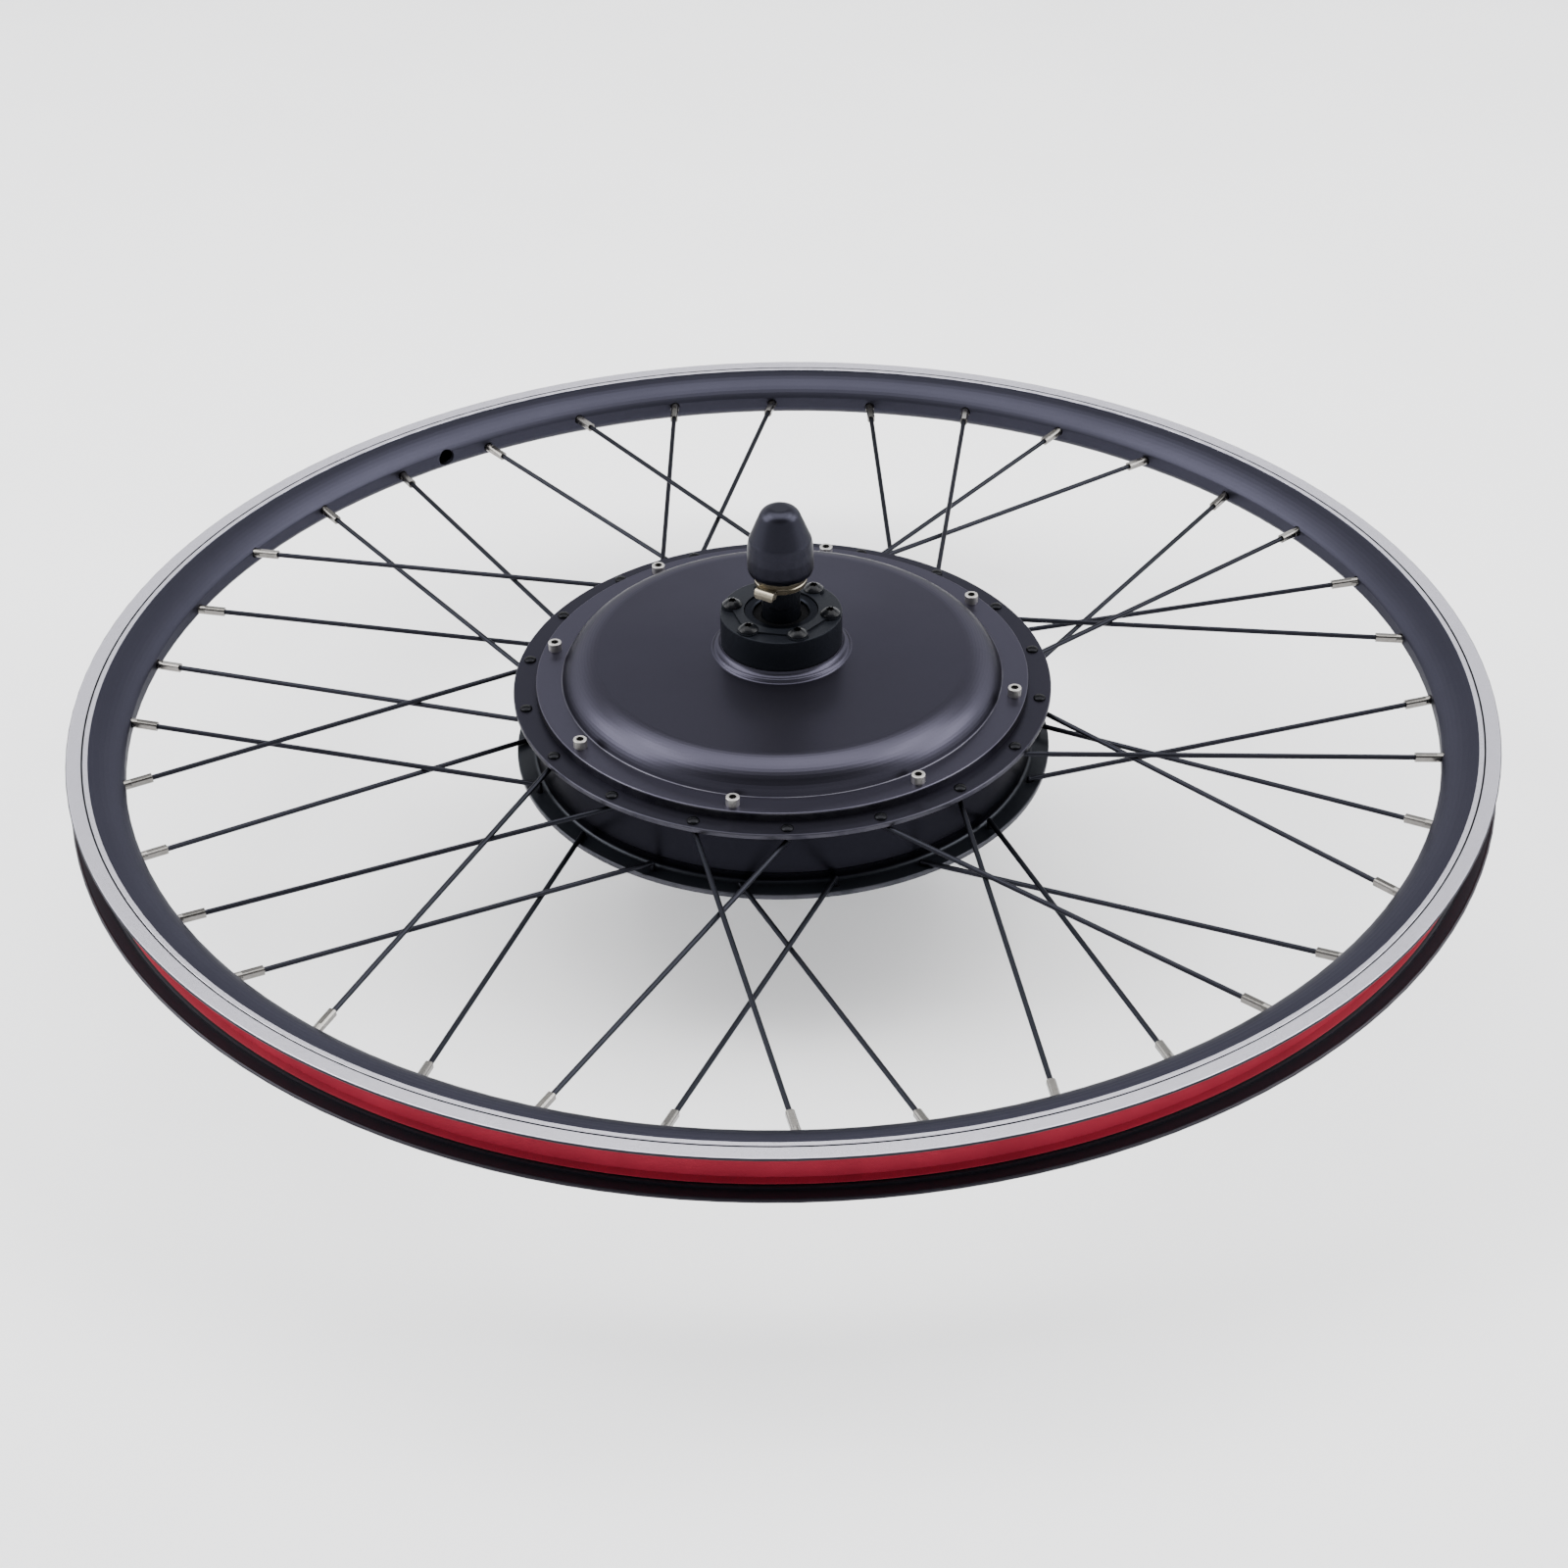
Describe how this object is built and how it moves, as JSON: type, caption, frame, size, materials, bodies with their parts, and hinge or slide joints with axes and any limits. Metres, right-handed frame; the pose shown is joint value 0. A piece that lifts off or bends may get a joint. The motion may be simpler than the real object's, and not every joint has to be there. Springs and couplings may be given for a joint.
{
  "type": "hub motor wheel",
  "caption": "Spoked bicycle wheel with a direct-drive hub motor in its centre, disc mount, threaded axle and a rim ready for a tyre; the wheel turns about the fixed axle.",
  "frame": {"origin": "on the axle axis at the rim's mid plane", "axes": "+Z along the axle towards the brake-disc side; -Y towards the viewer's side of the lying wheel, +X to the right"},
  "size_m": [0.6339, 0.634, 0.203],
  "materials": {
    "axle_steel": "black oxide steel",
    "plain_steel": "ground steel",
    "cast_aluminium": "die-cast aluminium",
    "core_steel": "stacked electrical steel",
    "winding_copper": "enamelled copper wire, copper by weight close to brass",
    "circuit_board": "glass-fibre circuit board",
    "bearing_steel": "ground bearing steel",
    "cage_plastic": "moulded cage",
    "seal_rubber": "lip seal rubber",
    "zinc_plate": "pale gold zinc plating",
    "nut_steel": "bright zinc plated steel",
    "cap_rubber": "black moulded rubber",
    "slate_shell": "dark slate satin coat on aluminium",
    "magnet_nickel": "nickel plated magnets",
    "slate_cover": "dark slate satin coat on aluminium",
    "stainless": "stainless socket screws",
    "black_alloy": "black satin aluminium",
    "black_screw": "black button head screws",
    "black_wire": "black steel wire",
    "nickel_brass": "nickel plated brass",
    "rim_alloy": "slate satin aluminium with machined brake tracks",
    "tape_red": "woven polymer rim tape"
  },
  "bodies": {
    "axle_group": {"axle": "axle_steel", "axle_key": "plain_steel", "stator_carrier": "cast_aluminium", "stator_core": "core_steel", "windings": "winding_copper", "hall_board": "circuit_board", "bearing_inner_races": "bearing_steel", "torque_washers": "zinc_plate", "flat_washers": "zinc_plate", "axle_nuts": "nut_steel"},
    "wheel": {"hub_shell": "slate_shell", "rotor_yoke": "core_steel", "magnets": "magnet_nickel", "brake_side_cover": "slate_cover", "drive_side_cover": "slate_cover", "cover_screws": "stainless", "disc_mount": "black_alloy", "disc_screws": "black_screw", "spokes_brake_leading": "black_wire", "spokes_brake_trailing": "black_wire", "spokes_drive_leading": "black_wire", "spokes_drive_trailing": "black_wire", "nipples": "nickel_brass", "rim": "rim_alloy", "rim_tape": "tape_red", "axle_seals": "seal_rubber", "bearing_outer_races": "bearing_steel"},
    "bearing_rollers": {"bearing_balls": "bearing_steel", "bearing_cages": "cage_plastic"},
    "cap": {"axle_cap": "cap_rubber"}
  },
  "joints": [
    {"name": "wheel_spin", "type": "hinge", "parent": "axle_group", "child": "wheel", "pos_m": [0, 0, 0], "axis": [0, 0, 1], "continuous": true},
    {"name": "rollers_orbit", "type": "hinge", "parent": "axle_group", "child": "bearing_rollers", "pos_m": [0, 0, 0], "axis": [0, 0, 1], "continuous": true},
    {"name": "cap_pull", "type": "slide", "parent": "axle_group", "child": "cap", "axis": [0, 0, 1], "range_m": [0, 0.035]}
  ],
  "couplings": [
    {"joint": "rollers_orbit", "follows": "wheel_spin", "ratio": 0.6158}
  ]
}
